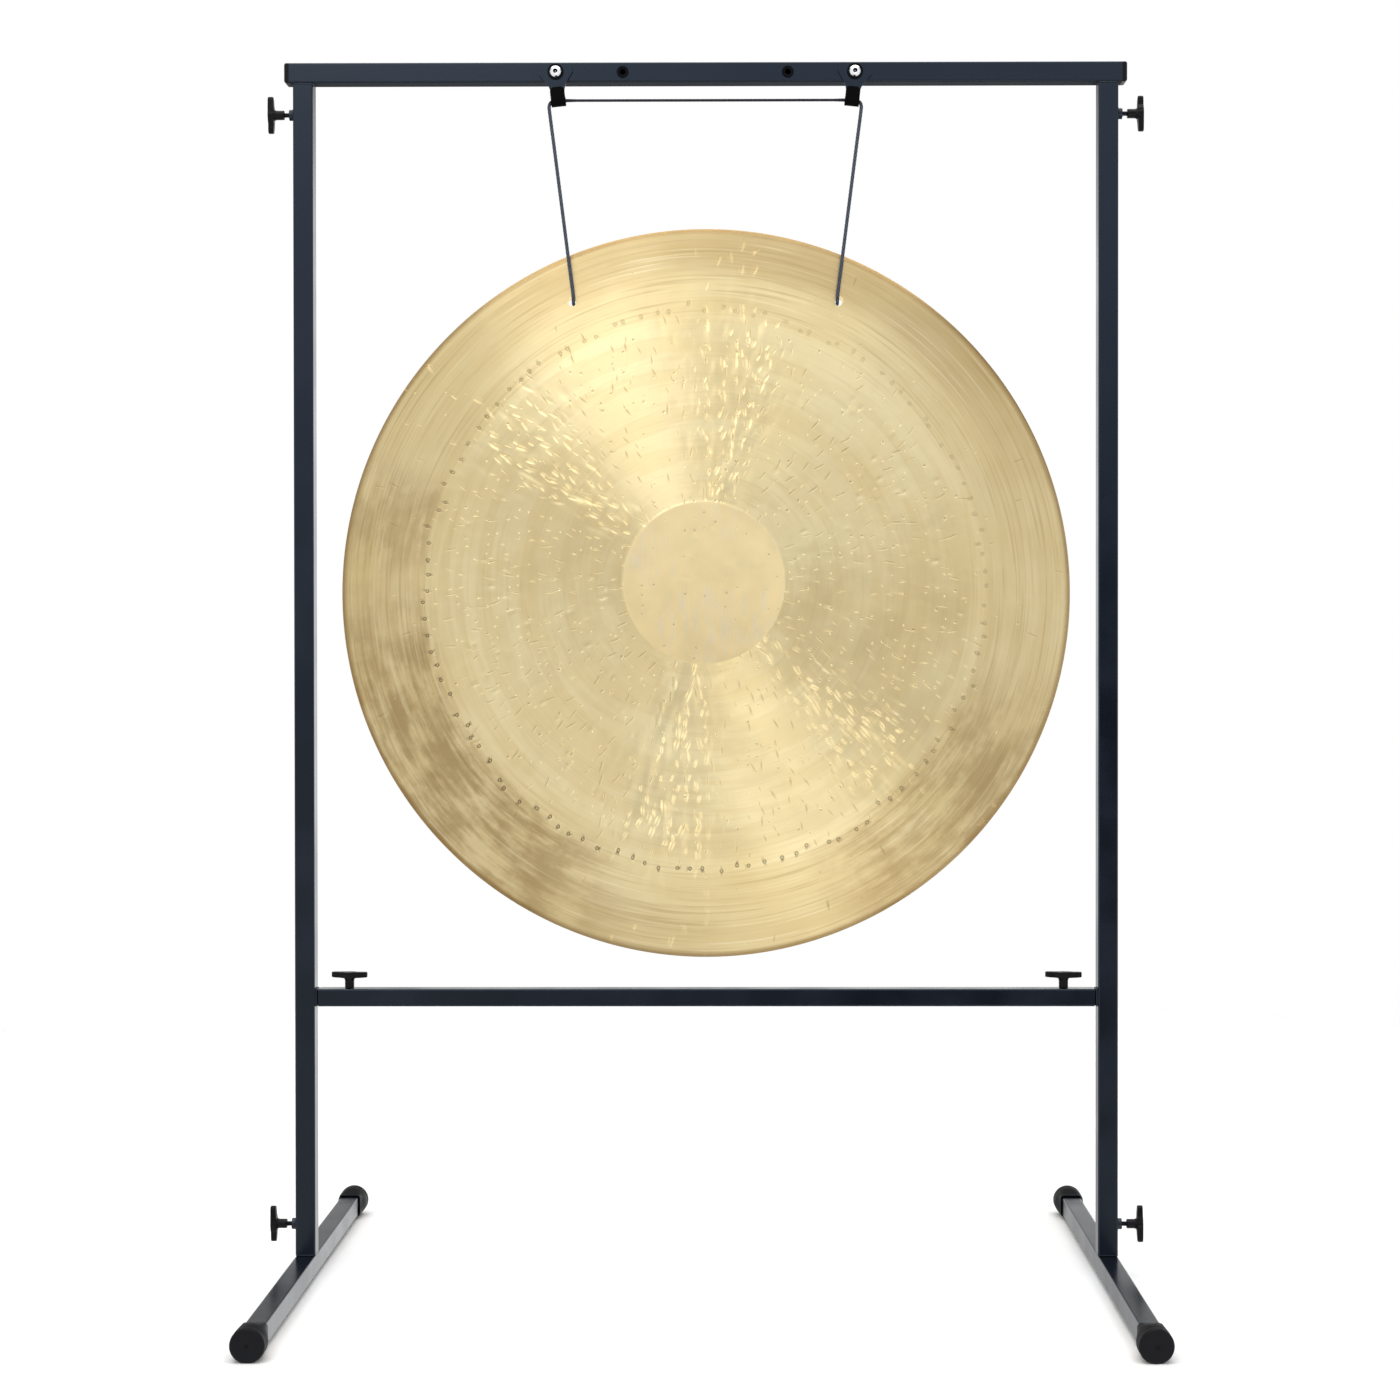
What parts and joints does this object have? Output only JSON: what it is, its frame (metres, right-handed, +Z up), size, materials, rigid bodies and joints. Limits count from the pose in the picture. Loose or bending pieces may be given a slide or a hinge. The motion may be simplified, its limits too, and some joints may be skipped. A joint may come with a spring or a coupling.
{
  "type": "tam tam gong on stand",
  "caption": "Large round hammered bronze gong hung by a braided cord from two hooks on a knock-down square-tube floor stand.",
  "frame": {"origin": "on the floor, under the middle of the stand", "axes": "+Z up, -Y the front face of the gong, +X to the right seen from the front"},
  "size_m": [1.099, 0.75, 1.53],
  "materials": {
    "stand_paint": "black satin powder coat, slightly blue",
    "bronze": "lathed and hammered, lightly aged",
    "cord": "braided synthetic cord, dark grey",
    "knob_plastic": "moulded black plastic",
    "plug_plastic": "moulded black plastic",
    "foot_rubber": "black moulded rubber",
    "sleeve_rubber": "soft black rubber tube",
    "washer_black": "black nylon washer",
    "zinc_steel": "bright zinc plate"
  },
  "bodies": {
    "frame": {"left_upright": "stand_paint", "right_upright": "stand_paint", "crossbar": "stand_paint", "left_cross_stub": "stand_paint", "right_cross_stub": "stand_paint", "left_upper_nut": "stand_paint", "right_upper_nut": "stand_paint", "left_lower_nut": "stand_paint", "right_lower_nut": "stand_paint"},
    "top_bar": {"top_bar": "stand_paint", "left_bar_plug": "plug_plastic", "right_bar_plug": "plug_plastic", "left_top_stub": "stand_paint", "right_top_stub": "stand_paint", "left_hook": "stand_paint", "right_hook": "stand_paint", "left_hook_sleeve": "sleeve_rubber", "right_hook_sleeve": "sleeve_rubber", "left_hook_screw": "zinc_steel", "right_hook_screw": "zinc_steel", "left_hook_washer": "washer_black", "right_hook_washer": "washer_black", "left_hook_nut": "zinc_steel", "right_hook_nut": "zinc_steel", "left_spare_nut": "zinc_steel", "right_spare_nut": "zinc_steel", "cord_top": "cord"},
    "left_foot": {"left_foot_tube": "stand_paint", "left_foot_stub": "stand_paint", "left_front_cap": "foot_rubber", "left_rear_cap": "foot_rubber"},
    "right_foot": {"right_foot_tube": "stand_paint", "right_foot_stub": "stand_paint", "right_front_cap": "foot_rubber", "right_rear_cap": "foot_rubber"},
    "gong": {"gong_disc": "bronze", "cord_left": "cord", "cord_right": "cord", "cord_knot": "cord"},
    "left_upper_knob": {"left_upper_grip": "knob_plastic", "left_upper_stud": "zinc_steel"},
    "left_lower_knob": {"left_lower_grip": "knob_plastic", "left_lower_stud": "zinc_steel"},
    "left_cross_knob": {"left_cross_grip": "knob_plastic", "left_cross_stud": "zinc_steel"},
    "right_upper_knob": {"right_upper_grip": "knob_plastic", "right_upper_stud": "zinc_steel"},
    "right_lower_knob": {"right_lower_grip": "knob_plastic", "right_lower_stud": "zinc_steel"},
    "right_cross_knob": {"right_cross_grip": "knob_plastic", "right_cross_stud": "zinc_steel"}
  },
  "joints": [
    {"name": "top_bar_lift", "type": "slide", "parent": "frame", "child": "top_bar", "axis": [0, 0, 1], "range_m": [0, 0.1]},
    {"name": "gong_swing", "type": "hinge", "parent": "top_bar", "child": "gong", "pos_m": [0, -0.0194, 1.4803], "axis": [1, 0, 0], "range_deg": [-30, 30]},
    {"name": "left_foot_pull", "type": "slide", "parent": "frame", "child": "left_foot", "axis": [0, 0, -1], "range_m": [0, 0.1]},
    {"name": "right_foot_pull", "type": "slide", "parent": "frame", "child": "right_foot", "axis": [0, 0, -1], "range_m": [0, 0.1]},
    {"name": "left_upper_knob_turn", "type": "hinge", "parent": "frame", "child": "left_upper_knob", "pos_m": [-0.53, 0, 1.467], "axis": [-1, 0, 0], "continuous": true},
    {"name": "left_lower_knob_turn", "type": "hinge", "parent": "frame", "child": "left_lower_knob", "pos_m": [-0.53, 0, 0.0704], "axis": [-1, 0, 0], "continuous": true},
    {"name": "left_cross_knob_turn", "type": "hinge", "parent": "frame", "child": "left_cross_knob", "pos_m": [-0.45, 0, 0.378], "axis": [0, 0, 1], "continuous": true},
    {"name": "right_upper_knob_turn", "type": "hinge", "parent": "frame", "child": "right_upper_knob", "pos_m": [0.53, 0, 1.467], "axis": [1, 0, 0], "continuous": true},
    {"name": "right_lower_knob_turn", "type": "hinge", "parent": "frame", "child": "right_lower_knob", "pos_m": [0.53, 0, 0.0704], "axis": [1, 0, 0], "continuous": true},
    {"name": "right_cross_knob_turn", "type": "hinge", "parent": "frame", "child": "right_cross_knob", "pos_m": [0.45, 0, 0.378], "axis": [0, 0, 1], "continuous": true}
  ]
}
